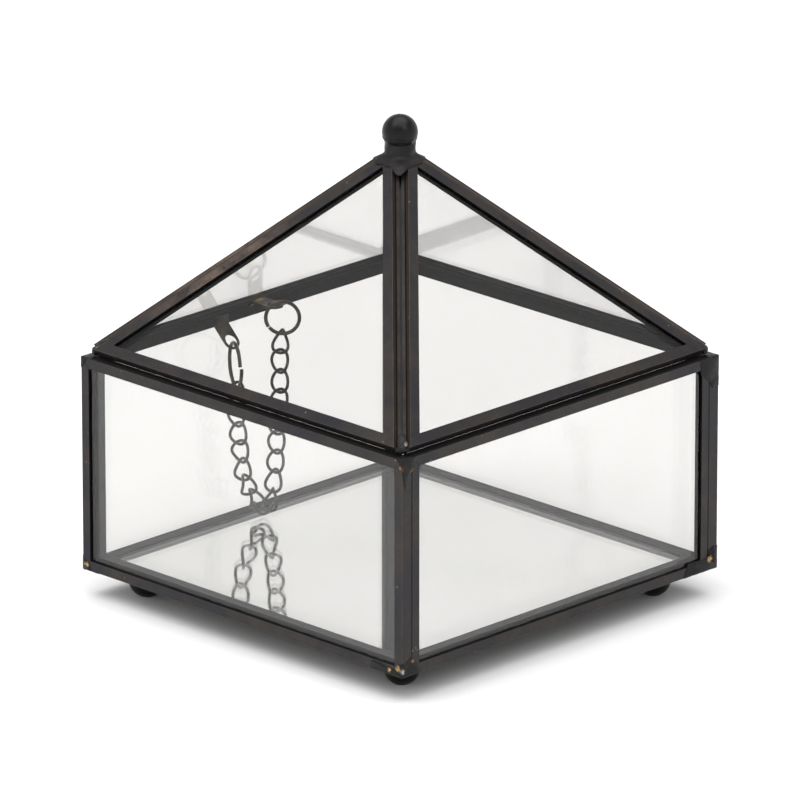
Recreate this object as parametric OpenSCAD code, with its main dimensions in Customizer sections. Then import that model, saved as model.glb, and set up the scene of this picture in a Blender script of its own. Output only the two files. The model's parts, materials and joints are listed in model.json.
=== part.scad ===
// Square glass keepsake box with a hinged pyramid lid.
// Glass panes sit in soldered U-channel cames, the floor is a mirror, and a fine
// curb chain stops the lid. Millimetres, +Z up, origin under the middle of the box,
// front at -Y, hinge at +Y, chain at -X.

/* [Box] */
// Outside length of each side of the box
box_side = 100; // [90:1:130]
// Height of the wall panels
wall_h = 50; // [44:1:70]
// Height that the feet lift the walls off the table
foot_h = 6.2; // [5:0.1:7]
// Diameter of the ball feet and of the finial ball
ball_d = 8; // [7.6:0.1:9]
// Distance of each foot from the middle of the box, along X and Y
foot_at = 40; // [34:0.5:41]

/* [Came] */
// Thickness of a panel's channel, across the pane
came_t = 3; // [2.8:0.1:3.4]
// Width of the channel's flanges, along the pane
came_w = 2.4; // [2:0.1:3.5]
// Thickness of the channel's bottom
web_t = 0.5; // [0.3:0.1:0.7]
// Thickness of each flange
flange_t = 0.45; // [0.3:0.05:0.6]
// Thickness of the panes
glass_t = 2; // [1.2:0.1:2]

/* [Lid] */
// Slope of the lid's panels, in degrees
lid_slope = 44.5; // [38:0.5:50]
// How far the lid's inner edge stands in from the box's outside
lid_inset = 2.8; // [2.6:0.1:2.9]
// Height of the flat on top of the lid's frames, over the rim
lid_flat_h = 45.8; // [36:0.1:45.8]

/* [Hinge] */
// Outside diameter of the hinge tube
tube_d = 1.6; // [1.4:0.1:1.6]
// Diameter of the hinge wire
wire_d = 1; // [0.8:0.1:1]
// Length of the hinge tube
tube_len = 26; // [16:1:50]
// Distance of the hinge's middle from the box's middle, along X
hinge_x = 3; // [-10:1:10]

/* [Chain] */
// Diameter of the links' wire
link_wire = 0.7; // [0.5:0.05:0.7]
// Length of one link's step along the chain
link_pitch = 4.5; // [4.3:0.1:4.7]
// Outside width of a link
link_w = 4.3; // [4:0.1:4.4]
// Diameter of the jump rings' wire
ring_wire = 0.85; // [0.7:0.05:0.9]

/* [Hidden] */
PARTS = [
    "front_came", "right_came", "back_came", "left_came",
    "front_glass", "right_glass", "back_glass", "left_glass",
    "floor_came", "floor_mirror", "base_sheet",
    "foot_front_left", "foot_front_right", "foot_back_right", "foot_back_left",
    "corner_solder", "hinge_tube", "hinge_tube_solder", "tab_box", "ring_box",
    "lid_front_came", "lid_right_came", "lid_back_came", "lid_left_came",
    "lid_front_glass", "lid_right_glass", "lid_back_glass", "lid_left_glass",
    "hip_solder", "apex_solder", "finial_ball", "hinge_wire", "tab_lid", "ring_lid"
];
SIDES = ["front", "right", "back", "left"];
FEET = ["foot_front_left", "foot_front_right", "foot_back_right", "foot_back_left"];
$fn = 48;
cut = 1;
fit = 0.05;

half = box_side / 2;
inner = half - came_t;
rim_z = foot_h + wall_h;
slot_t = came_t - 2 * flange_t;

// Lid: inner base edge, height of that edge, and the slope's and the hips' measures
lid_b = half - lid_inset;
lid_z = rim_z + 0.05;
lid_run = lid_b / cos(lid_slope);
lid_flat_z = rim_z + lid_flat_h;
hip_gap = 0.35;
hip_slope = atan(tan(lid_slope) / sqrt(2));
hip_len = (lid_flat_z - lid_z) / sin(hip_slope) - 2;
hip_tilt = 90 - acos(-cos(lid_slope) * cos(lid_slope)) / 2;
hip_depth = 1;

// Finial
apex_r = 5.2;
neck_r = 3.3;
neck_h = 3.4;
ball_r = ball_d / 2;
ball_z = lid_flat_z + 6.3;

// Hinge: the tube lies on the rim, in the gap under the back panel's edge
tube_r = tube_d / 2;
hinge_z = rim_z + tube_r + 0.02;
web_gap = tube_r + 0.1;
hinge_y = lid_b + (web_gap + (hinge_z - lid_z) * sin(lid_slope)) / cos(lid_slope);
wire_over = 1.2;

// Tabs: thin strips with a round end and a hole
tab_t = 0.5;
tab_r = 2.1;
hole_r = 1.6;
tab_box_y = -8.9;
tab_box_root = [-inner + 0.2, tab_box_y, rim_z - 2.2];
tab_box_lean = 45;
tab_box_reach = 4.4;
tab_lid_y = 1.6;
tab_lid_z = rim_z + 1.1;
tab_lid_hole = -half + 9.4;

// Jump rings: middle radius, place and the turn of the ring's plane about Z
ring_a_r = 4.975;
ring_b_r = 3.725;
ring_r = ring_wire / 2;
tab_web = tab_box_reach + (hole_r + tab_r) / 2;
ring_a = [
    tab_box_root.x + tab_web * cos(tab_box_lean),
    tab_box_y,
    tab_box_root.z - tab_web * sin(tab_box_lean) + 0.42 - (ring_a_r - ring_r)
];
ring_a_turn = 150;
ring_b_off = 1.85;
ring_b = [
    tab_lid_hole + ring_b_off * cos(45),
    tab_lid_y + ring_b_off * sin(45),
    tab_lid_z + tab_t + 0.1 - (ring_b_r - ring_r)
];
ring_b_turn = 45;

// Chain: for each link, its lean from straight down along Y and along X, and its turn
// about its own length, in degrees. Leg a hangs from the box, leg b from the lid.
LEG_A = [
    [4, 0, 0], [5, 0, 6], [8, 0, -6], [9, 0, 10], [8, 0, -20], [30, 0, -39], [32, 4.3, -48]
];
LEG_B = [
    [-20, 8, -30], [-6, 7, 8], [-7, 6, -6], [-5, 0, 5], [-4, 0, -8], [-3, 0, 6],
    [-5, 0, -4], [-10, 0, -20], [-12, -4.2, -40]
];
link_gap = 0.06;
link_a = (link_pitch + link_wire + link_gap) / 2;
link_b = (link_w - link_wire) / 2;
link_c = link_b / 2;
link_steps = 24;
wire_sides = 6;

function unit(v) = v / norm(v);
function down(lean) = [
    sin(lean[1]), sin(lean[0]) * cos(lean[1]), -cos(lean[0]) * cos(lean[1])
];
function leg_point(start, leg, n) =
    n == 0 ? start : leg_point(start, leg, n - 1) + link_pitch * down(leg[n - 1]);

// How far the first link of each leg sits above the lowest point of its ring, inside the wire
link_lift = 0.08;
// The bottom link that joins the two legs is a little larger, and turned about its length
bottom_link_scale = 1.12;
bottom_link_turn = 4;
leg_a_start = ring_a - [0, 0, ring_a_r - ring_r - link_lift];
leg_b_start = ring_b - [0, 0, ring_b_r - ring_r - link_lift];
leg_a_end = leg_point(leg_a_start, LEG_A, len(LEG_A));
leg_b_end = leg_point(leg_b_start, LEG_B, len(LEG_B));

LINKS = concat(
    [for (i = [1:len(LEG_A)]) str("link_a_", i)],
    ["link_bottom"],
    [for (i = [1:len(LEG_B)]) str("link_b_", i)]
);

// Outline moved inwards, each edge by its own distance
function inset(p, d) = [
    for (i = [0:len(p) - 1])
        let (
            n = len(p),
            u = unit(p[i] - p[(i + n - 1) % n]),
            v = unit(p[(i + 1) % n] - p[i]),
            turn = u.x * v.y - u.y * v.x
        )
        p[i] + (d[(i + n - 1) % n] * v - d[i] * u) / turn
];
function even(p, d) = inset(p, [for (q = p) d]);

// Frame of U-channel round an outline, one mitred strip for each edge
module came_frame(outline) {
    inside = even(outline, came_w);
    n = len(outline);
    difference() {
        for (i = [0:n - 1]) {
            k = (i + 1) % n;
            linear_extrude(came_t)
                polygon([outline[i], outline[k], inside[k], inside[i]]);
        }
        translate([0, 0, flange_t])
            linear_extrude(slot_t)
                polygon(even(outline, web_t));
    }
}

module pane(outline) {
    translate([0, 0, (came_t - glass_t) / 2])
        linear_extrude(glass_t)
            polygon(even(outline, web_t + 0.1));
}

function rectangle(w, h) = [[-w / 2, 0], [w / 2, 0], [w / 2, h], [-w / 2, h]];
function wall(i) = rectangle(i % 2 == 0 ? box_side : 2 * inner, wall_h);

// Places an upright panel drawn in XY on side i of the box, its front outwards
module on_wall(i) {
    rotate(90 * i)
        translate([0, -inner, foot_h])
            rotate([90, 0, 0])
                children();
}

module wall_came(i) {
    color([0.2, 0.18, 0.17]) on_wall(i) came_frame(wall(i));
}

module wall_glass(i) {
    color([0.85, 0.9, 0.9, 0.4]) on_wall(i) pane(wall(i));
}

function floor_square() = [
    [-inner, -inner], [inner, -inner], [inner, inner], [-inner, inner]
];

module floor_came() {
    color([0.3, 0.28, 0.27])
        translate([0, 0, foot_h])
            came_frame(floor_square());
}

module floor_mirror() {
    color([0.8, 0.85, 0.85]) translate([0, 0, foot_h]) pane(floor_square());
}

module base_sheet() {
    w = 2 * (inner - came_w - fit);
    color([0.3, 0.25, 0.15])
        translate([-w / 2, -w / 2, foot_h])
            cube([w, w, (came_t - glass_t) / 2]);
}

// Ball foot, filed flat under the floor and where it stands
module foot(i) {
    color([0.12, 0.12, 0.12])
        rotate(90 * i)
            intersection() {
                translate([-foot_at, -foot_at, ball_r - 0.4]) sphere(ball_r);
                translate([-foot_at - ball_d, -foot_at - ball_d, 0])
                    cube([2 * ball_d, 2 * ball_d, foot_h]);
            }
}

// Solder over the butt seams at the top and bottom corners
module corner_solder() {
    patch_t = 0.15;
    color([0.25, 0.24, 0.23])
        for (i = [1, 3], end = [-1, 1], high = [0, 1])
            on_wall(i)
                translate([end * inner, high * wall_h, came_t])
                    linear_extrude(patch_t)
                        intersection() {
                            scale([1, high == 1 ? 2.4 : 1.6]) circle(2.3);
                            translate([-came_t, high == 1 ? -wall_h : 0])
                                square([2 * came_t, wall_h]);
                        }
}

module at_hinge() {
    translate([hinge_x, hinge_y, hinge_z]) children();
}

module hinge_tube() {
    color([0.25, 0.23, 0.2])
        at_hinge()
            rotate([0, 90, 0])
                difference() {
                    cylinder(h = tube_len, r = tube_r, center = true);
                    cylinder(h = tube_len + cut, d = wire_d + 2 * fit, center = true);
                }
}

// Fillets that hold the tube on the rim
module hinge_tube_solder() {
    bead = [5, 1.1, 0.42];
    color([0.3, 0.3, 0.3])
        difference() {
            for (x = [-0.38, 0, 0.38])
                translate([hinge_x + x * tube_len - bead.x / 2, hinge_y - bead.y / 2, rim_z])
                    cube(bead);
            at_hinge()
                rotate([0, 90, 0])
                    cylinder(h = tube_len + cut, r = tube_r, center = true);
        }
}

// Wire with turned-in ends, each up to the edge of the back panel
module hinge_wire() {
    span = tube_len + 2 * wire_over;
    color([0.3, 0.28, 0.25])
        at_hinge()
            rotate([90 - lid_slope, 0, 0]) {
                rotate([0, 90, 0]) cylinder(h = span, d = wire_d, center = true);
                for (end = [-1, 1])
                    translate([end * (span - wire_d) / 2, 0, 0])
                        cylinder(h = web_gap, d = wire_d);
            }
}

// Strip along +X from its root, with a round end and a hole at the given reach
module tab_strip(reach) {
    linear_extrude(tab_t)
        difference() {
            union() {
                translate([0, -tab_r]) square([reach, 2 * tab_r]);
                translate([reach, 0]) circle(tab_r);
            }
            translate([reach, 0]) circle(hole_r);
        }
}

module tab_box() {
    color([0.25, 0.23, 0.2]) {
        translate([-inner, tab_box_y - tab_r, tab_box_root.z])
            cube([tab_t, 2 * tab_r, 2.1]);
        translate(tab_box_root)
            rotate([0, tab_box_lean, 0])
                translate([0, 0, -tab_t / 2])
                    tab_strip(tab_box_reach);
    }
}

module tab_lid() {
    start = -lid_b + (tab_lid_z + tab_t - lid_z) / tan(lid_slope) + 0.1;
    color([0.4, 0.35, 0.2]) {
        translate([-lid_b, tab_lid_y - tab_r, lid_z])
            rotate([0, -lid_slope, 0])
                translate([0.6, 0, -tab_t])
                    cube([1.9, 2 * tab_r, tab_t]);
        translate([start, tab_lid_y, tab_lid_z]) tab_strip(tab_lid_hole - start);
    }
}

module jump_ring(place, turn, r) {
    color([0.22, 0.2, 0.18])
        translate(place)
            rotate([90, 0, turn])
                rotate_extrude()
                    translate([r, 0])
                        circle(ring_r, $fn = 24);
}

function lid_outline() = inset(
    [[-lid_b, 0], [lid_b, 0], [0, lid_run]], [0, hip_gap, hip_gap]
);

// Places a panel drawn in XY on side i of the lid, its front outwards
module on_lid(i) {
    rotate(90 * i)
        translate([0, -lid_b, lid_z])
            rotate([lid_slope, 0, 0])
                children();
}

module below_flat() {
    intersection() {
        children();
        translate([-half, -half, rim_z]) cube([box_side, box_side, lid_flat_h]);
    }
}

module lid_came(i) {
    color([0.2, 0.18, 0.17]) below_flat() on_lid(i) came_frame(lid_outline());
}

module lid_glass(i) {
    color([0.85, 0.9, 0.9, 0.4]) below_flat() on_lid(i) pane(lid_outline());
}

// Solder in the grooves between the lid's panels
module hip_solder() {
    w = hip_gap * cos(hip_tilt) - 0.01;
    low = -hip_gap * sin(hip_tilt) + 0.02;
    rise = hip_depth * cos(hip_tilt);
    flare = hip_depth * sin(hip_tilt);
    color([0.25, 0.24, 0.23])
        for (i = [0:3])
            rotate(90 * i)
                translate([lid_b, lid_b, lid_z])
                    rotate([0, -hip_slope, 225])
                        translate([0.6, 0, 0])
                            rotate([90, 0, 90])
                                linear_extrude(hip_len)
                                    polygon([
                                        [-w, low], [w, low],
                                        [w + flare, low + rise], [-w - flare, low + rise]
                                    ]);
}

module apex_solder() {
    color([0.25, 0.24, 0.23])
        difference() {
            translate([0, 0, lid_flat_z]) cylinder(h = neck_h, r1 = apex_r, r2 = neck_r);
            translate([0, 0, ball_z]) sphere(ball_r);
        }
}

module finial_ball() {
    color([0.1, 0.1, 0.1]) translate([0, 0, ball_z]) sphere(ball_r);
}

// Middle line of a twisted link, and the two directions across its wire
function link_at(t) = [link_a * cos(t), link_b * sin(t), link_c * sin(2 * t)];
function link_dir(t) = unit([-link_a * sin(t), link_b * cos(t), 2 * link_c * cos(2 * t)]);
function link_side(t) = unit(cross(link_dir(t), [0, 0, 1]));
function link_up(t) = cross(link_side(t), link_dir(t));

module link(grow) {
    ring_points = [
        for (i = [0:link_steps - 1], j = [0:wire_sides - 1])
            let (t = 360 * i / link_steps, s = 360 * j / wire_sides)
            grow * link_at(t) + link_wire / 2 * (cos(s) * link_side(t) + sin(s) * link_up(t))
    ];
    function at(i, j) = (i % link_steps) * wire_sides + j % wire_sides;
    faces = [
        for (i = [0:link_steps - 1], j = [0:wire_sides - 1], k = [0, 1])
            k == 0
                ? [at(i, j), at(i, j + 1), at(i + 1, j)]
                : [at(i + 1, j), at(i, j + 1), at(i + 1, j + 1)]
    ];
    polyhedron(ring_points, faces, convexity = 4);
}

// Places a link between two pivots; the link's flat side faces the given way
module link_between(p, q, facing, turn, grow = 1) {
    d = unit(q - p);
    w = unit(cross(facing, d));
    n = cross(d, w);
    m = (p + q) / 2;
    color([0.2, 0.19, 0.18])
        multmatrix([
            [d.x, w.x, n.x, m.x],
            [d.y, w.y, n.y, m.y],
            [d.z, w.z, n.z, m.z],
            [0, 0, 0, 1]
        ])
            rotate([turn, 0, 0])
                link(grow);
}

module leg_link(start, leg, i) {
    link_between(
        leg_point(start, leg, i - 1), leg_point(start, leg, i), [1, -1, 0], leg[i - 1][2]
    );
}

// The lowest link, a little larger: it ends leg a, and its far end reaches for the end of leg b
module link_bottom() {
    way = unit(leg_a_end - leg_b_end);
    link_between(leg_b_end, leg_b_end + link_pitch * way, [0, 0, 1], bottom_link_turn, bottom_link_scale);
}

for (i = [0:3]) {
    wall_came(i);
    wall_glass(i);
    lid_came(i);
    lid_glass(i);
    foot(i);
}
floor_came();
floor_mirror();
base_sheet();
corner_solder();
hinge_tube();
hinge_tube_solder();
hinge_wire();
tab_box();
jump_ring(ring_a, ring_a_turn, ring_a_r);  // ring_box
tab_lid();
jump_ring(ring_b, ring_b_turn, ring_b_r);  // ring_lid
hip_solder();
apex_solder();
finial_ball();
link_bottom();
for (i = [1:len(LEG_A)]) {
    leg_link(leg_a_start, LEG_A, i);
}
for (i = [1:len(LEG_B)]) {
    leg_link(leg_b_start, LEG_B, i);
}
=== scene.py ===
"""Looks of the square glass keepsake box with a hinged pyramid lid. Metres, in the CAD frame."""
import json
import math

import bmesh
import bpy
import numpy as np
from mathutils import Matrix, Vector, noise


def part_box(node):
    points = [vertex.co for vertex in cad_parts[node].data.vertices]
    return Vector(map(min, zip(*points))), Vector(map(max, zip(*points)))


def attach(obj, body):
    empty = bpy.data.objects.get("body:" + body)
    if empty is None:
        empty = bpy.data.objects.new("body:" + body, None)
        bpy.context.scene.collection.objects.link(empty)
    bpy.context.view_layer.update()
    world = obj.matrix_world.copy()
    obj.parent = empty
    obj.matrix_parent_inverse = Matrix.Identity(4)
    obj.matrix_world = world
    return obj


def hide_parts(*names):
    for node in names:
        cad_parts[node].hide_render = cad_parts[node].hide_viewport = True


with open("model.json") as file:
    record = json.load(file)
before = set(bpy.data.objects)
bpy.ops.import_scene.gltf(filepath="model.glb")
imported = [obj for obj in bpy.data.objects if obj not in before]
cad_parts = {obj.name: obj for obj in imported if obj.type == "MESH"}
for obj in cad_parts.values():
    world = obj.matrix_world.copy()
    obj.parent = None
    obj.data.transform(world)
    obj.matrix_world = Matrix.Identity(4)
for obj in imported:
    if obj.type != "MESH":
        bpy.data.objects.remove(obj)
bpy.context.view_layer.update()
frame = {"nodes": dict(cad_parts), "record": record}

MM = 0.001
UP = Vector((0, 0, 1))

# ---------------------------------------------------------------- measures, from the frame
wall_lo, wall_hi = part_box("right_came")
HALF = wall_hi.x
RIM_Z = wall_hi.z
FOOT_Z = wall_lo.z
LID_LO, LID_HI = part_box("lid_right_came")
BALL_LO, BALL_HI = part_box("finial_ball")
BALL_Z = (BALL_LO.z + BALL_HI.z) / 2
FLAT_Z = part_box("apex_solder")[0].z
# Tangent of the slope of the lid's panes
TAN_SLOPE = math.tan(math.radians(44.5))
# Where a hip ends, out along X and Y, and its height
TIP, TIP_Z = LID_HI.x - 1.15 * MM, LID_LO.z + 1.9 * MM
# Half the width of the flat top on which the finial stands
OUTER_FLAT = 5.03 * MM
# A curb link: half its length, half its width and how far its wire twists out of level
LINK_CURVE = (2.63 * MM, 1.8 * MM, 0.9 * MM)
LINK_WIRE = 0.35 * MM
LARGE_LINK = 1.12
RING_WIRE = 0.425 * MM
# How far a mitre between two of a wall's channels runs, along and up
MITRE = 3.0 * MM


def srgb(*grey):
    """An 8-bit sRGB colour, or one grey, as linear RGBA."""
    levels = grey * 3 if len(grey) == 1 else grey
    unit = [v / 255 for v in levels]
    return [v / 12.92 if v <= 0.04045 else ((v + 0.055) / 1.055) ** 2.4 for v in unit] + [1]


# ---------------------------------------------------------------- materials
class Surface:
    """A material's node tree, with short calls for the nodes that these looks use."""

    def __init__(self, name, **sockets):
        self.material = bpy.data.materials.new(name)
        self.material.use_nodes = True
        self.tree = self.material.node_tree
        self.tree.nodes.clear()
        self.out = self.tree.nodes.new("ShaderNodeOutputMaterial")
        self.bsdf = self.tree.nodes.new("ShaderNodeBsdfPrincipled")
        self.join(self.bsdf.outputs["BSDF"], self.out.inputs["Surface"])
        self.where = self.tree.nodes.new("ShaderNodeTexCoord").outputs["Object"]
        for socket, value in sockets.items():
            self.bsdf.inputs[socket.replace("_", " ")].default_value = value

    def join(self, a, b):
        self.tree.links.new(a, b)

    def feed(self, socket, value):
        """value is another node's output, or a constant."""
        if isinstance(value, bpy.types.NodeSocket):
            self.join(value, socket)
        else:
            socket.default_value = value

    def noise(self, scale, detail=4, roughness=0.55, distortion=0):
        node = self.tree.nodes.new("ShaderNodeTexNoise")
        self.join(self.where, node.inputs["Vector"])
        for socket, value in zip(
            ("Scale", "Detail", "Roughness", "Distortion"), (scale, detail, roughness, distortion)
        ):
            node.inputs[socket].default_value = value
        return node.outputs["Fac"]

    def specks(self, scale, radius, rarity):
        """Small round specks, of radius 0 to 1 of a cell, left out where a slow noise is below rarity."""
        node = self.tree.nodes.new("ShaderNodeTexVoronoi")
        self.join(self.where, node.inputs["Vector"])
        node.inputs["Scale"].default_value = scale
        dot = self.ramp(node.outputs["Distance"], (0, 1), (radius * 0.6, 1), (radius, 0))
        place = self.ramp(self.noise(scale / 3, 1), (0, 0), (rarity, 0), (rarity + 0.05, 1))
        return self.math("MULTIPLY", dot, place)

    def ramp(self, fac, *stops):
        """A colour ramp with (position, grey or RGBA) stops."""
        node = self.tree.nodes.new("ShaderNodeValToRGB")
        self.join(fac, node.inputs["Fac"])
        elements = node.color_ramp.elements
        while len(elements) < len(stops):
            elements.new(0.5)
        for element, (position, colour) in zip(elements, stops):
            element.position = position
            element.color = colour if isinstance(colour, (list, tuple)) else [colour] * 3 + [1]
        return node.outputs["Color"]

    def math(self, operation, a, b=0.0):
        node = self.tree.nodes.new("ShaderNodeMath")
        node.operation = operation
        node.use_clamp = True
        self.feed(node.inputs[0], a)
        self.feed(node.inputs[1], b)
        return node.outputs[0]

    def mix(self, fac, a, b):
        node = self.tree.nodes.new("ShaderNodeMix")
        node.data_type = "RGBA"
        self.feed(node.inputs[0], fac)
        self.feed(node.inputs[6], a)
        self.feed(node.inputs[7], b)
        return node.outputs[2]

    def edges(self, radius, low=0.9, high=0.995):
        """1 on edges and corners, 0 on flats, from the Bevel node's normal against the face's."""
        bevel = self.tree.nodes.new("ShaderNodeBevel")
        bevel.inputs["Radius"].default_value = radius
        normal = self.tree.nodes.new("ShaderNodeNewGeometry").outputs["Normal"]
        dot = self.tree.nodes.new("ShaderNodeVectorMath")
        dot.operation = "DOT_PRODUCT"
        self.join(bevel.outputs[0], dot.inputs[0])
        self.join(normal, dot.inputs[1])
        return self.ramp(dot.outputs["Value"], (0, 1), (low, 1), (high, 0))

    def near(self, point, radius):
        """1 at a point, fading to 0 at radius from it."""
        node = self.tree.nodes.new("ShaderNodeVectorMath")
        node.operation = "DISTANCE"
        self.join(self.where, node.inputs[0])
        node.inputs[1].default_value = point
        share = self.math("DIVIDE", node.outputs["Value"], radius)
        return self.ramp(share, (0, 1), (0.35, 1), (1, 0))

    def near_hip(self, reach):
        """1 where a point is within reach of the vertical planes through the lid's hips."""
        split = self.tree.nodes.new("ShaderNodeSeparateXYZ")
        self.join(self.where, split.inputs[0])
        x, y = self.math("ABSOLUTE", split.outputs[0]), self.math("ABSOLUTE", split.outputs[1])
        gap = self.math("SUBTRACT", self.math("MAXIMUM", x, y), self.math("MINIMUM", x, y))
        share = self.math("DIVIDE", gap, reach * 2 * math.sqrt(2))
        return self.ramp(share, (0, 1), (0.46, 1), (0.54, 0))

    def facing(self, point):
        """1 on faces that look towards a point, 0 on those that look away from it."""
        towards = self.tree.nodes.new("ShaderNodeVectorMath")
        towards.operation = "SUBTRACT"
        towards.inputs[0].default_value = point
        self.join(self.where, towards.inputs[1])
        dot = self.tree.nodes.new("ShaderNodeVectorMath")
        dot.operation = "DOT_PRODUCT"
        self.join(towards.outputs[0], dot.inputs[0])
        self.join(self.tree.nodes.new("ShaderNodeNewGeometry").outputs["True Normal"], dot.inputs[1])
        return self.math("MULTIPLY", dot.outputs["Value"], 1 / (0.8 * MM))

    def colour(self, value):
        self.feed(self.bsdf.inputs["Base Color"], value)

    def roughness(self, value):
        self.feed(self.bsdf.inputs["Roughness"], value)

    def bump(self, height, strength, distance):
        node = self.tree.nodes.new("ShaderNodeBump")
        node.inputs["Strength"].default_value = strength
        node.inputs["Distance"].default_value = distance
        self.join(height, node.inputs["Height"])
        self.join(node.outputs["Normal"], self.bsdf.inputs["Normal"])


def came_patina_and_shade(name, pane, inward):
    """Dark patina on a channel with painted shade and light: near-black on faces round its pane, dark on
    faces looking into the box, paler edges (partly wear, partly a painted highlight), lighter near the lid's
    hips (painted light), and dust outside.
    """
    s = Surface(name, Metallic=0.5, Specular_IOR_Level=0.3)
    cloud = s.noise(70, 5, 0.6, 0.8)
    fine = s.noise(1400, 3, 0.7)
    violet, grey, warm, brown = srgb(41, 40, 46), srgb(46, 44, 46), srgb(52, 48, 47), srgb(60, 54, 49)
    base = s.ramp(cloud, (0.34, violet), (0.46, grey), (0.56, warm), (0.7, brown))
    base = s.mix(s.ramp(fine, (0.35, 0.3), (0.65, 0)), base, srgb(28, 27, 27))
    # Paler edges: partly real wear, partly a painted highlight along the edges.
    wear = s.math("MULTIPLY", s.edges(0.2 * MM), s.ramp(s.noise(260, 4), (0.3, 0.15), (0.62, 0.7)))
    base = s.mix(wear, base, srgb(112, 95, 80))
    if name.startswith("lid"):
        # Painted light: lighter brown within reach of the hips, to offset the shade where the channels'
        # folded edges face each other.
        base = s.mix(s.near_hip(1.6 * MM), base, srgb(72, 64, 57))
        left_hip = Vector((-0.6 * HALF, -0.6 * HALF, (RIM_Z + FLAT_Z) / 2 + 4 * MM))
        patchy = s.ramp(s.noise(180, 5, 0.7), (0.38, 0), (0.66, 0.5))
        rub = s.math("MULTIPLY", s.near(left_hip, 24 * MM), patchy)
        base = s.mix(rub, base, srgb(132, 112, 98))
    base = s.mix(s.specks(640, 0.16, 0.64), base, srgb(112, 108, 102))
    # Painted shade: faces that look into the box (for a wall, towards a point 30 mm up inside it) go dark.
    is_wall = not name.startswith(("lid", "floor"))
    inside = s.facing(pane + inward * 3 * MM + UP * (30 * MM if is_wall else 0))
    base = s.mix(inside, base, srgb(30, 29, 29))
    # Painted shade: faces that look towards the pane, in the channel round it, go near-black.
    s.colour(s.mix(s.facing(pane), base, srgb(12)))
    s.feed(s.bsdf.inputs["Specular IOR Level"], s.ramp(inside, (0, 0.3), (1, 0.08)))
    s.feed(s.bsdf.inputs["Metallic"], s.ramp(inside, (0, 0.5), (1, 0.1)))
    rough = s.ramp(s.noise(420, 4), (0.3, 0.34), (0.7, 0.5))
    s.roughness(s.mix(inside, rough, srgb(220)))
    s.bump(s.noise(700, 4, 0.6), 0.2, 0.04 * MM)
    return s.material


def solder(spots=()):
    """Near-black patinated solder, with brass or copper showing at spots: (point, radius, colour)."""
    s = Surface("solder_patina", Metallic=0.45, Specular_IOR_Level=0.3)
    cloud = s.noise(300, 5, 0.6, 0.4)
    colour = s.ramp(cloud, (0.35, srgb(20, 20, 21)), (0.55, srgb(28, 27, 27)), (0.72, srgb(44, 38, 32)))
    ragged = s.ramp(s.noise(1500, 3, 0.6), (0.4, 0), (0.56, 1))
    for point, radius, bare in spots:
        colour = s.mix(s.math("MULTIPLY", s.near(point, radius), ragged), colour, srgb(*bare))
    s.colour(colour)
    s.roughness(s.ramp(s.noise(600, 4), (0.3, 0.36), (0.7, 0.58)))
    s.bump(s.noise(1100, 4, 0.6), 0.45, 0.08 * MM)
    return s.material


def ball_black(name, rubbed):
    """Near-black patina of the feet and the finial, satin, with a few paler rubs."""
    s = Surface(name, Metallic=0.3, Specular_IOR_Level=0.28)
    s.colour(s.ramp(s.noise(420, 5, 0.65), (0.35, srgb(9)), (0.6, srgb(14, 14, 15)), (0.76, srgb(*rubbed))))
    s.roughness(s.ramp(s.noise(800, 3), (0.3, 0.3), (0.7, 0.42)))
    s.bump(s.noise(900, 4), 0.2, 0.05 * MM)
    return s.material


def worn_brass(name, dark, bright, amount, spots=()):
    """Brass under a dark stain; amount is how much of the metal shows, from 0 to 1."""
    s = Surface(name, Metallic=0.6, Specular_IOR_Level=0.3)
    cloud = s.noise(380, 5, 0.62, 0.5)
    edge = 0.62 - 0.3 * amount
    base = s.ramp(cloud, (edge - 0.16, srgb(*dark)), (edge + 0.12, srgb(*bright)))
    wear = s.math("MULTIPLY", s.edges(0.15 * MM), s.ramp(s.noise(700, 3), (0.35, 0.1), (0.6, 0.8)))
    base = s.mix(wear, base, srgb(*[min(255, round(v * 1.2)) for v in bright]))
    for point, radius in spots:
        base = s.mix(s.near(point, radius), base, srgb(134, 112, 66))
    s.colour(base)
    s.roughness(s.ramp(s.noise(900, 4), (0.3, 0.28), (0.7, 0.46)))
    s.bump(s.noise(1500, 3), 0.3, 0.04 * MM)
    return s.material


def glass(name, tint):
    """Clear pane glass; lamp light passes straight through it, so that panes cast almost no shadow."""
    s = Surface(name, Roughness=0.0, IOR=1.5)
    s.bsdf.inputs["Transmission Weight"].default_value = 1
    s.colour(s.ramp(s.noise(25, 2), (0.3, srgb(*tint)), (0.7, srgb(*[min(255, v + 3) for v in tint]))))
    s.bump(s.noise(18, 2), 0.02, 0.2 * MM)
    through = s.tree.nodes.new("ShaderNodeBsdfTransparent")
    through.inputs["Color"].default_value = srgb(248)
    rays = s.tree.nodes.new("ShaderNodeLightPath")
    choose = s.tree.nodes.new("ShaderNodeMixShader")
    s.join(s.math("MAXIMUM", rays.outputs["Is Shadow Ray"], rays.outputs["Is Diffuse Ray"]), choose.inputs[0])
    s.join(s.bsdf.outputs["BSDF"], choose.inputs[1])
    s.join(through.outputs["BSDF"], choose.inputs[2])
    s.join(choose.outputs[0], s.out.inputs["Surface"])
    return s.material


def silver():
    """The mirror's silvered back."""
    s = Surface("mirror_silver", Metallic=1)
    s.colour(s.ramp(s.noise(30, 3), (0.3, srgb(248, 249, 248)), (0.7, srgb(252))))
    s.roughness(0.02)
    return s.material


def paper():
    """The pale floor under the box."""
    s = Surface("paper", Roughness=0.9)
    s.colour(s.ramp(s.noise(12, 3), (0.3, srgb(215)), (0.7, srgb(217))))
    return s.material


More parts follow.
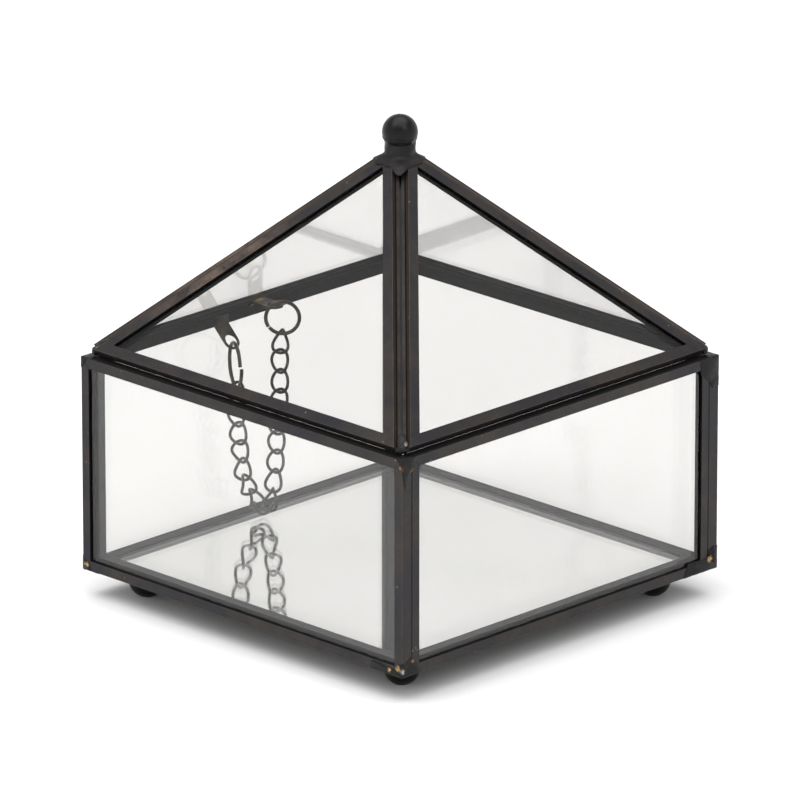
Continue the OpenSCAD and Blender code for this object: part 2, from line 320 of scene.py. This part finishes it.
# ---------------------------------------------------------------- mesh helpers
def new_object(name, verts, faces, material, smooth=True):
    mesh = bpy.data.meshes.new(name)
    mesh.from_pydata([tuple(v) for v in verts], [], faces)
    mesh.polygons.foreach_set("use_smooth", [smooth] * len(mesh.polygons))
    mesh.materials.append(material)
    obj = bpy.data.objects.new(name, mesh)
    bpy.context.collection.objects.link(obj)
    return obj


def body_with(node):
    return next(b for b, nodes in frame["record"]["behaviour"]["bodies"].items() if node in nodes)


def place(obj, body, slot, *nodes):
    """The piece rides on a body and stands for the CAD nodes named, which are hidden; slot is not used."""
    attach(obj, body)
    if nodes:
        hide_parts(*nodes)


def tube(points, radius, sides=14, closed=True):
    """Vertices and faces of a round wire along points."""
    points = np.asarray(points)
    count = len(points)
    if closed:
        ahead = np.roll(points, -1, 0) - np.roll(points, 1, 0)
    else:
        ahead = np.gradient(points, axis=0)
    ahead /= np.linalg.norm(ahead, axis=1)[:, None]
    out = points - points.mean(0)
    out -= (out * ahead).sum(1)[:, None] * ahead
    out /= np.linalg.norm(out, axis=1)[:, None]
    side = np.cross(ahead, out)
    turn = np.linspace(0, 2 * math.pi, sides, endpoint=False)
    verts = []
    for p, o, s in zip(points, out, side):
        verts += [p + radius * (math.cos(a) * o + math.sin(a) * s) for a in turn]
    faces = []
    for i in range(count if closed else count - 1):
        k = (i + 1) % count
        for j in range(sides):
            m = (j + 1) % sides
            faces.append((i * sides + j, i * sides + m, k * sides + m, k * sides + j))
    if not closed:
        faces.append(tuple(range(sides - 1, -1, -1)))
        faces.append(tuple((count - 1) * sides + j for j in range(sides)))
    return verts, faces


def own_axes(node):
    """Centre of a CAD node and its three directions, longest first, from its vertices."""
    points = np.array([v.co for v in frame["nodes"][node].data.vertices])
    centre = points.mean(0)
    _, _, rows = np.linalg.svd(points - centre, full_matrices=False)
    rows[2] = np.cross(rows[0], rows[1])
    return centre, rows


def dab(centre, half, axes=None, seed=0.0, roughness=0.12):
    """Vertices and faces of a lumpy ellipsoid; its half sizes are along axes, or along X, Y and Z."""
    axes = axes or (Vector((1, 0, 0)), Vector((0, 1, 0)), Vector((0, 0, 1)))
    ball = bmesh.new()
    bmesh.ops.create_icosphere(ball, subdivisions=4, radius=1)
    verts = []
    for v in ball.verts:
        lump = 1 + roughness * noise.noise(v.co * 2.2 + Vector((seed, 0, 0)))
        offset = sum((axis * reach * size * lump for axis, reach, size in zip(axes, v.co, half)), Vector())
        verts.append(Vector(centre) + offset)
    faces = [tuple(v.index for v in f.verts) for f in ball.faces]
    ball.free()
    return verts, faces


def smear(corner, along, upward, outward, outline, seed=0.0):
    """A thin skin of solder on a face, its edge a little ragged and rounded.

    outline holds (along, upward) points in mm from the corner.
    """
    thick, sunk, lip, steps = 0.13 * MM, -0.15 * MM, 0.12 * MM, 8
    points = []
    for a, b in zip(outline, outline[1:] + outline[:1]):
        for k in range(steps):
            share = k / steps
            u, v = (a[0] + (b[0] - a[0]) * share) * MM, (a[1] + (b[1] - a[1]) * share) * MM
            shake = noise.noise(Vector((u / (0.7 * MM), v / (0.7 * MM), seed))) * 0.13 * MM
            points.append((u + shake, v - shake))
    middle = (sum(u for u, _ in points) / len(points), sum(v for _, v in points) / len(points))
    rings = []
    for height, inset in ((sunk, 0), (thick * 0.5, 0), (thick, lip)):
        ring = []
        for u, v in points:
            away = math.hypot(u - middle[0], v - middle[1]) or 1
            share = max(0.0, 1 - inset / away)
            x, y = middle[0] + (u - middle[0]) * share, middle[1] + (v - middle[1]) * share
            ring.append(Vector(corner) + along * x + upward * y + outward * height)
        rings.append(ring)
    count = len(points)
    verts = [v for ring in rings for v in ring]
    faces = [tuple(range(count - 1, -1, -1)), tuple(range(2 * count, 3 * count))]
    for r in (0, count):
        for i in range(count):
            k = (i + 1) % count
            faces.append((r + i, r + k, r + count + k, r + count + i))
    if along.cross(upward).dot(outward) < 0:
        faces = [face[::-1] for face in faces]
    return verts, faces


def gather(*parts):
    """Joins (verts, faces) pairs into one."""
    verts, faces = [], []
    for more_verts, more_faces in parts:
        start = len(verts)
        verts += [Vector(v) for v in more_verts]
        faces += [tuple(start + i for i in face) for face in more_faces]
    return verts, faces


# ---------------------------------------------------------------- chain and rings
def chain(material):
    """Curb links with a real twist, each in its CAD link's place and direction."""
    a, b, c = LINK_CURVE
    steps = np.linspace(0, 2 * math.pi, 56, endpoint=False)
    local = np.stack([a * np.cos(steps), b * np.sin(steps), c * np.sin(2 * steps)], 1)
    for node in [n for n in frame["nodes"] if n.startswith("link_")]:
        centre, rows = own_axes(node)
        grow = LARGE_LINK if node == "link_bottom" else 1
        verts, faces = tube(grow * local @ rows + centre, LINK_WIRE, 14)
        link = new_object(node.replace("link", "curb_link"), verts, faces, material)
        place(link, body_with(node), "chain", node)


def jump_rings(material):
    """Each ring is a bent wire whose cut ends meet a little out of line."""
    for node, cut in (("ring_box", 80), ("ring_lid", 235)):
        centre, rows = own_axes(node)
        normal = Vector(rows[2])
        up = (UP - normal * UP.dot(normal)).normalized()
        side = normal.cross(up)
        if side.x < 0:
            side = -side
        points = np.array([v.co for v in frame["nodes"][node].data.vertices])
        radius = float(np.linalg.norm(points - centre, axis=1).max()) - RING_WIRE
        gap = math.radians(3)
        turns = np.linspace(math.radians(cut) + gap, math.radians(cut) + 2 * math.pi - gap, 96)
        drift = np.linspace(-0.16 * MM, 0.16 * MM, 96) ** 3 / (0.16 * MM) ** 2
        path = [
            Vector(centre) + radius * (math.cos(t) * up + math.sin(t) * side) + float(d) * normal
            for t, d in zip(turns, drift)
        ]
        verts, faces = tube(path, RING_WIRE, 16, closed=False)
        ring = new_object(node.replace("ring", "jump_ring"), verts, faces, material)
        place(ring, body_with(node), "jump_ring", node)


# ---------------------------------------------------------------- solder
BRASS, COPPER, TIN = (190, 158, 104), (140, 98, 66), (176, 170, 160)
# What spreads onto a corner's two faces, in mm from the corner: along the face, then from its edge
SMALL_TOP = [(0, 0), (1.8, 0), (1.2, 1.2), (0.6, 2.2), (0, 2.4)]
SMALL_LOW = [(0, 0), (2.6, 0), (2.0, 1.4), (1.2, 2.2), (0, 2.6)]
LONG_TOP = [(0, 0), (4.4, 0), (3.8, 1.9), (3.2, 3.0), (2.1, 3.4), (1.5, 6.4), (0.9, 6.9)]
LONG_TOP += [(0.4, 4.6), (0, 3.4)]
WIDE_LOW = [(0, 0), (10.0, 0), (9.5, 1.9), (6.5, 2.0), (4.0, 1.4), (2.3, 1.6), (1.2, 3.0), (0, 3.2)]
TALL_LOW = [(0, 0), (6.2, 0), (5.0, 1.8), (3.7, 3.6), (2.9, 4.4), (1.9, 3.9), (1.0, 3.0), (0, 3.4)]
POST_TOP = [(0, 0), (5.9, 0), (5.7, 3.3), (4.5, 4.4), (3.3, 5.2), (2.0, 7.3), (0, 7.0)]
BIG_LOW = [(0, 0), (10.8, 0), (10.3, 1.4), (9.4, 2.9), (6.0, 3.0), (3.3, 3.0), (3.0, 4.6)]
BIG_LOW += [(1.4, 5.4), (0, 5.2)]
RIM_PATCH = [(0, 0), (3.2, 0), (3.0, 2.0), (2.0, 3.2), (0, 3.0)]
BASE_PATCH = [(0, 0), (5, 0), (6, 6), (0, 5)]
# Corner (sign x, sign y): on its X-facing side top and low, then on its Y-facing side top and low
CORNERS = {
    (1, -1): (LONG_TOP, TALL_LOW, SMALL_TOP, WIDE_LOW),
    (1, 1): (POST_TOP, BIG_LOW, SMALL_TOP, TALL_LOW),
    (-1, 1): (SMALL_TOP, SMALL_LOW, POST_TOP, WIDE_LOW),
    (-1, -1): (SMALL_TOP, TALL_LOW, SMALL_TOP, SMALL_LOW),
}


def box_solder():
    """Thin dark skins of solder on the faces of the box's corners, and beads on their upright edges."""
    parts = []
    for n, ((sx, sy), (x_top, x_low, y_top, y_low)) in enumerate(CORNERS.items()):
        low = Vector((sx * HALF, sy * HALF, FOOT_Z))
        top = Vector((sx * HALF, sy * HALF, RIM_Z))
        inward_x, inward_y = Vector((-sx, 0, 0)), Vector((0, -sy, 0))
        parts.append(smear(top, inward_y, -UP, -inward_x, x_top, n))
        parts.append(smear(low, inward_y, UP, -inward_x, x_low, n + 10))
        parts.append(smear(top, inward_x, -UP, -inward_y, y_top, n + 20))
        parts.append(smear(low, inward_x, UP, -inward_y, y_low, n + 30))
        parts.append(smear(top, inward_x, inward_y, UP, RIM_PATCH, n + 40))
        parts.append(smear(low, inward_x, inward_y, -UP, BASE_PATCH, n + 50))
        for end, lift in ((low, 1.2 * MM), (top, -1.3 * MM)):
            centre = end + (inward_x + inward_y) * 0.32 * MM + UP * lift
            parts.append(dab(centre, (0.42 * MM, 0.42 * MM, 1.5 * MM), seed=n))
    front = Vector((HALF, -HALF, FOOT_Z))
    top = Vector((HALF, -HALF, RIM_Z))
    spots = [
        (top + Vector((0, 3.0, -3.2)) * MM, 0.9 * MM, COPPER),
        (top + Vector((-0.6, 0, -2.0)) * MM, 0.9 * MM, COPPER),
        (front + Vector((-1.3, 0, 2.0)) * MM, 0.9 * MM, BRASS),
        (front + Vector((-0.1, 0.2, 1.4)) * MM, 0.8 * MM, TIN),
        (front + Vector((-3.8, 0, 1.0)) * MM, 0.7 * MM, BRASS),
        (front + Vector((0, 3.2, 3.2)) * MM, 0.6 * MM, COPPER),
        (Vector((-HALF + 1.2 * MM, -HALF, FOOT_Z + 1.2 * MM)), 0.9 * MM, BRASS),
        (Vector((HALF, HALF - 2.4 * MM, FOOT_Z + 2.6 * MM)), 1.0 * MM, BRASS),
    ]
    verts, faces = gather(*parts)
    skin = new_object("corner_solder_skins", verts, faces, solder(spots))
    place(skin, "box", "solder", "corner_solder")


def bar(a, b, width, outward, lift):
    """A thin box along a line on a face, lift proud of it."""
    side = (b - a).normalized().cross(outward) * width / 2
    low, high = -0.1 * MM * outward, lift * outward
    verts = [a - side + low, a + side + low, b + side + low, b - side + low]
    verts += [a - side + high, a + side + high, b + side + high, b - side + high]
    faces = [(0, 1, 2, 3), (7, 6, 5, 4), (0, 4, 5, 1), (1, 5, 6, 2), (2, 6, 7, 3), (3, 7, 4, 0)]
    return verts, faces


def seams():
    """Thin near-black strips of painted shade along the joints between the walls' channels, and along the
    mitres at their corners.
    """
    parts = []
    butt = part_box("right_came")[1].y
    for sx in (-1, 1):
        out = Vector((sx, 0, 0))
        for sy in (-1, 1):
            foot = Vector((sx * HALF, sy * butt, FOOT_Z + 0.2 * MM))
            parts.append(bar(foot, foot + UP * (RIM_Z - FOOT_Z - 0.4 * MM), 0.28 * MM, out, 0.02 * MM))
            for z, slant in ((FOOT_Z, 1), (RIM_Z, -1)):
                corner = Vector((sx * HALF, sy * butt, z))
                parts.append(bar(corner, corner + Vector((0, -sy, slant)) * MITRE, 0.1 * MM, out, 0.015 * MM))
                corner = Vector((sx * HALF, sy * HALF, z))
                inner = corner + Vector((-sx, 0, slant)) * MITRE
                parts.append(bar(corner, inner, 0.1 * MM, Vector((0, sy, 0)), 0.015 * MM))
    verts, faces = gather(*parts)
    # Painted shade: the strips stand for the shade in the joints' grooves.
    dark = Surface("seam_painted_shade", Metallic=0.2, Specular_IOR_Level=0.15)
    dark.colour(dark.ramp(dark.noise(800, 3), (0.3, srgb(8)), (0.7, srgb(20, 18, 17))))
    dark.roughness(0.6)
    place(new_object("post_seams", verts, faces, dark.material, smooth=False), "box", "came")


def hip_axes(sx, sy):
    """Up along a hip, across it, and out of it."""
    inner = Vector((sx, sy, 0)).normalized()
    run = Vector((1, 0, 1)).normalized()
    along = Vector((-sx * run.x, -sy * run.x, run.z * TAN_SLOPE)).normalized()
    across = UP.cross(inner).normalized()
    return along, across, along.cross(across) * (1 if along.cross(across).z > 0 else -1)


def hip_walls():
    """The folded edges of the channels, sloping down to a black line along each hip."""
    parts = []
    for sx, sy in CORNERS:
        along, across, out = hip_axes(sx, sy)
        tip = Vector((sx * TIP, sy * TIP, TIP_Z))
        for side in (-1, 1):
            face = (out * 0.93 - across * side * 0.37).normalized()
            foot = tip + across * side * 0.57 * MM - out * 0.58 * MM
            parts.append(bar(foot + along * 1.5 * MM, foot + along * 75 * MM, 0.72 * MM, face, 0.03 * MM))
    verts, faces = gather(*parts)
    s = Surface("hip_wall_patina", Metallic=0.4, Specular_IOR_Level=0.3)
    s.colour(s.ramp(s.noise(260, 5), (0.35, srgb(26, 24, 23)), (0.65, srgb(46, 40, 36))))
    s.roughness(0.5)
    place(new_object("hip_walls", verts, faces, s.material, smooth=False), "lid", "came")


def lid_corners():
    """Solder that fills the ends of the hips, and laps over the channels there."""
    parts, spots = [], []
    for n, (sx, sy) in enumerate(CORNERS):
        along, across, out = axes = hip_axes(sx, sy)
        tip = Vector((sx * TIP, sy * TIP, TIP_Z))
        size = 1.25 if (sx, sy) == (1, 1) else 1.0
        fill = (2.3 * MM, 1.25 * MM * size, 0.75 * MM)
        drop = (0.9 * MM, 1.5 * MM * size, 0.95 * MM)
        parts.append(dab(tip + along * 1.9 * MM - out * 0.55 * MM, fill, axes, n))
        parts.append(dab(tip + along * 0.2 * MM - out * 0.9 * MM, drop, axes, n + 5))
        spots.append((tip + along * 1.2 * MM + across * 1.2 * MM, 0.8 * MM, TIN))
    verts, faces = gather(*parts)
    tips = new_object("hip_end_solder", verts, faces, solder(spots))
    place(tips, "lid", "solder")


def finial_solder():
    """The neck that holds the ball, and the skirt of solder below it that laps onto the pyramid."""
    around, down = 160, 26
    ball = (BALL_HI.z - BALL_LO.z) / 2
    top = BALL_Z - 1.0 * MM
    flare, shoulder, squareness = 1.9 * MM, 1.2 * MM, 4.5
    verts = []
    for i in range(down + 1):
        for j in range(around):
            angle = 2 * math.pi * j / around
            c, s = abs(math.cos(angle)), abs(math.sin(angle))
            on_hip = (2 * c * s) ** 3
            aside = abs(math.sin(angle + math.pi / 4))
            low = FLAT_Z - (0.4 + (0.7 - 1.4 * aside) * on_hip) * MM
            low += noise.noise(Vector((math.cos(angle), math.sin(angle), 3)) * 2.8) * 0.8 * MM
            z = top + (low - top) * i / down
            flat_half = OUTER_FLAT + max(0.0, FLAT_Z + shoulder - z) / TAN_SLOPE - shoulder / TAN_SLOPE
            pyramid = flat_half / (c ** squareness + s ** squareness) ** (1 / squareness) + 0.12 * MM
            neck = 3.45 * MM + 0.18 * MM * math.sin(angle - 0.6) * min(1, i / 6)
            blend = min(1.0, max(0.0, (FLAT_Z + flare - z) / flare))
            blend = blend * blend * (3 - 2 * blend)
            hug = math.sqrt(max(0.0, ball ** 2 - (z - BALL_Z) ** 2)) + 0.02 * MM
            radius = max(hug, neck + (pyramid - neck) * blend)
            outward = Vector((math.cos(angle), math.sin(angle), 0))
            lump = noise.noise(Vector((outward.x * radius, outward.y * radius, z)) / (1.5 * MM))
            verts.append(outward * (radius + 0.13 * MM * lump) + UP * z)
    rim = len(verts)
    for j in range(around):
        below = verts[down * around + j]
        verts.append(Vector((below.x * 0.82, below.y * 0.82, below.z - 0.1 * MM)))
    faces = []
    for i in range(down + 1):
        for j in range(around):
            k = (j + 1) % around
            faces.append((i * around + j, (i + 1) * around + j, (i + 1) * around + k, i * around + k))
    faces.append(tuple(range(around)))
    faces.append(tuple(range(rim + around - 1, rim - 1, -1)))
    spots = [(Vector((-4.4, -3.9, 0)) * MM + UP * (FLAT_Z - 0.2 * MM), 0.9 * MM, (214, 186, 130))]
    cap = new_object("finial_solder", verts, faces, solder(spots))
    place(cap, "lid", "solder", "apex_solder")


# ---------------------------------------------------------------- mirror
def mirror_back(material):
    """A thin silvered sheet just inside the mirror's lower face."""
    lo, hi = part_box("floor_mirror")
    margin = 0.3 * MM
    low, high = lo.z + 0.03 * MM, lo.z + 0.08 * MM
    sheet = bmesh.new()
    bmesh.ops.create_cube(sheet, size=1)
    for v in sheet.verts:
        v.co.x = (lo.x + margin) if v.co.x < 0 else (hi.x - margin)
        v.co.y = (lo.y + margin) if v.co.y < 0 else (hi.y - margin)
        v.co.z = low if v.co.z < 0 else high
    mesh = bpy.data.meshes.new("mirror_silvering")
    sheet.to_mesh(mesh)
    sheet.free()
    mesh.materials.append(material)
    obj = bpy.data.objects.new("mirror_silvering", mesh)
    bpy.context.collection.objects.link(obj)
    place(obj, "box", "mirror_glass")


# ---------------------------------------------------------------- CAD nodes that stay
def came_look(node):
    """The look of a channel frame: which node it is for, its material and its edges' rounding."""
    glazing = frame["nodes"][node.replace("came", "mirror" if node == "floor_came" else "glass")]
    centre = sum((v.co for v in glazing.data.vertices), Vector()) / len(glazing.data.vertices)
    normal = Vector(own_axes(glazing.name)[1][2])
    inward = normal if normal.dot(Vector((0, 0, 40 * MM)) - centre) > 0 else -normal
    rounding = 0.05 * MM if "lid" in node else 0.12 * MM
    return lambda n: n == node, came_patina_and_shade(node + "_patina", centre, inward), rounding


def node_looks():
    """(test of a node's name, material, rounding of the edges); the first test that holds counts."""
    tab_lo, tab_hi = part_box("tab_lid")
    stain = Vector((tab_lo.x + 1.2 * MM, (tab_lo.y + tab_hi.y) / 2, tab_hi.z))
    tab = worn_brass("tab_brass", (30, 28, 26), (78, 69, 54), 0.2, [(stain, 1.7 * MM)])
    hinge = worn_brass("hinge_patina", (44, 41, 39), (92, 82, 66), 0.2)
    base = worn_brass("base_patina", (44, 42, 40), (80, 72, 58), 0.2)
    return [came_look(node) for node in frame["nodes"] if node.endswith("came")] + [
        (lambda n: n == "hip_solder", ball_black("hip_gap_black", (24, 22, 21)), 0),
        (lambda n: n.endswith("glass"), glass("pane_glass", (238, 237, 236)), 0.12 * MM),
        (lambda n: n == "floor_mirror", glass("mirror_glass", (252, 253, 252)), 0.12 * MM),
        (lambda n: n == "base_sheet", base, 0),
        (lambda n: n.startswith("foot"), ball_black("foot_black", (44, 40, 36)), 0),
        (lambda n: n == "finial_ball", ball_black("finial_black", (34, 33, 32)), 0),
        (lambda n: n.startswith("tab"), tab, 0.1 * MM),
        (lambda n: n.startswith("hinge"), hinge, 0),
        (lambda n: True, solder(), 0),
    ]


def finish_nodes():
    """Each CAD node gets its material, and the ones with sharp folded edges are rounded a little."""
    looks = node_looks()
    for name, obj in frame["nodes"].items():
        material, rounding = next((look[1], look[2]) for look in looks if look[0](name))
        obj.data.materials.clear()
        obj.data.materials.append(material)
        if rounding:
            weld = obj.modifiers.new("weld", "WELD")
            weld.merge_threshold = 1e-6
            soften = obj.modifiers.new("soften", "BEVEL")
            soften.width = rounding
            soften.segments = 2
            soften.limit_method = "ANGLE"
            soften.angle_limit = math.radians(35)


# ---------------------------------------------------------------- studio
def sky():
    """White all round near the horizon, dimmer above that, and brightest overhead, like a large softbox."""
    world = bpy.data.worlds.new("studio")
    bpy.context.scene.world = world
    world.use_nodes = True
    tree = world.node_tree
    back = tree.nodes["Background"]
    back.inputs["Strength"].default_value = 4
    coords = tree.nodes.new("ShaderNodeTexCoord")
    split = tree.nodes.new("ShaderNodeSeparateXYZ")
    fade = tree.nodes.new("ShaderNodeValToRGB")
    # (sine of the height above the horizon, share of the strength)
    stops = ((0.36, 0.27), (0.5, 0.1), (0.76, 0.1), (0.88, 0.85))
    while len(fade.color_ramp.elements) < len(stops):
        fade.color_ramp.elements.new(0.5)
    for element, (height, grey) in zip(fade.color_ramp.elements, stops):
        element.position = height
        element.color = (grey, grey, grey, 1)
    tree.links.new(coords.outputs["Generated"], split.inputs[0])
    tree.links.new(split.outputs[2], fade.inputs["Fac"])
    tree.links.new(fade.outputs["Color"], back.inputs["Color"])


def softbox(name, place, size, power, seen=False):
    """A square lamp aimed at the origin; only one that is seen shows in reflections."""
    lamp = bpy.data.lights.new(name, "AREA")
    lamp.size = size
    lamp.energy = power
    obj = bpy.data.objects.new(name, lamp)
    obj.location = place
    obj.rotation_euler = (-Vector(place)).to_track_quat("-Z", "Y").to_euler()
    obj.visible_glossy = seen
    bpy.context.collection.objects.link(obj)


def studio():
    corners = [(x, y, 0) for x, y in ((-4, -4), (4, -4), (4, 4), (-4, 4))]
    new_object("floor", corners, [(0, 1, 2, 3)], paper())
    sky()
    softbox("key", (-0.4, -1.0, 1.0), 1.0, 6)
    softbox("front", (0.9, -0.9, 0.8), 1.0, 3)
    softbox("glint", (-0.25, -0.75, 1.1), 0.5, 2.5, seen=True)
    softbox("fill", (0.9, -0.1, 0.9), 0.5, 2.5, seen=True)


def camera():
    lens_data = bpy.data.cameras.new("camera")
    lens_data.lens = 495.3
    lens_data.sensor_width = 36
    lens_data.clip_end = 20
    obj = bpy.data.objects.new("camera", lens_data)
    obj.location = (1.6233, -1.6447, 0.8414)
    aim = Vector((0, 0, 0.0458))
    obj.rotation_euler = (aim - obj.location).to_track_quat("-Z", "Y").to_euler()
    bpy.context.collection.objects.link(obj)
    bpy.context.scene.camera = obj


# ---------------------------------------------------------------- the scene
finish_nodes()
seams()
hip_walls()
chain(worn_brass("chain_patina", (24, 23, 23), (70, 67, 62), 0.2))
jump_rings(worn_brass("ring_patina", (28, 26, 25), (78, 70, 58), 0.2))
box_solder()
lid_corners()
finial_solder()
mirror_back(silver())
studio()
camera()
bpy.context.scene.view_settings.view_transform = "Standard"
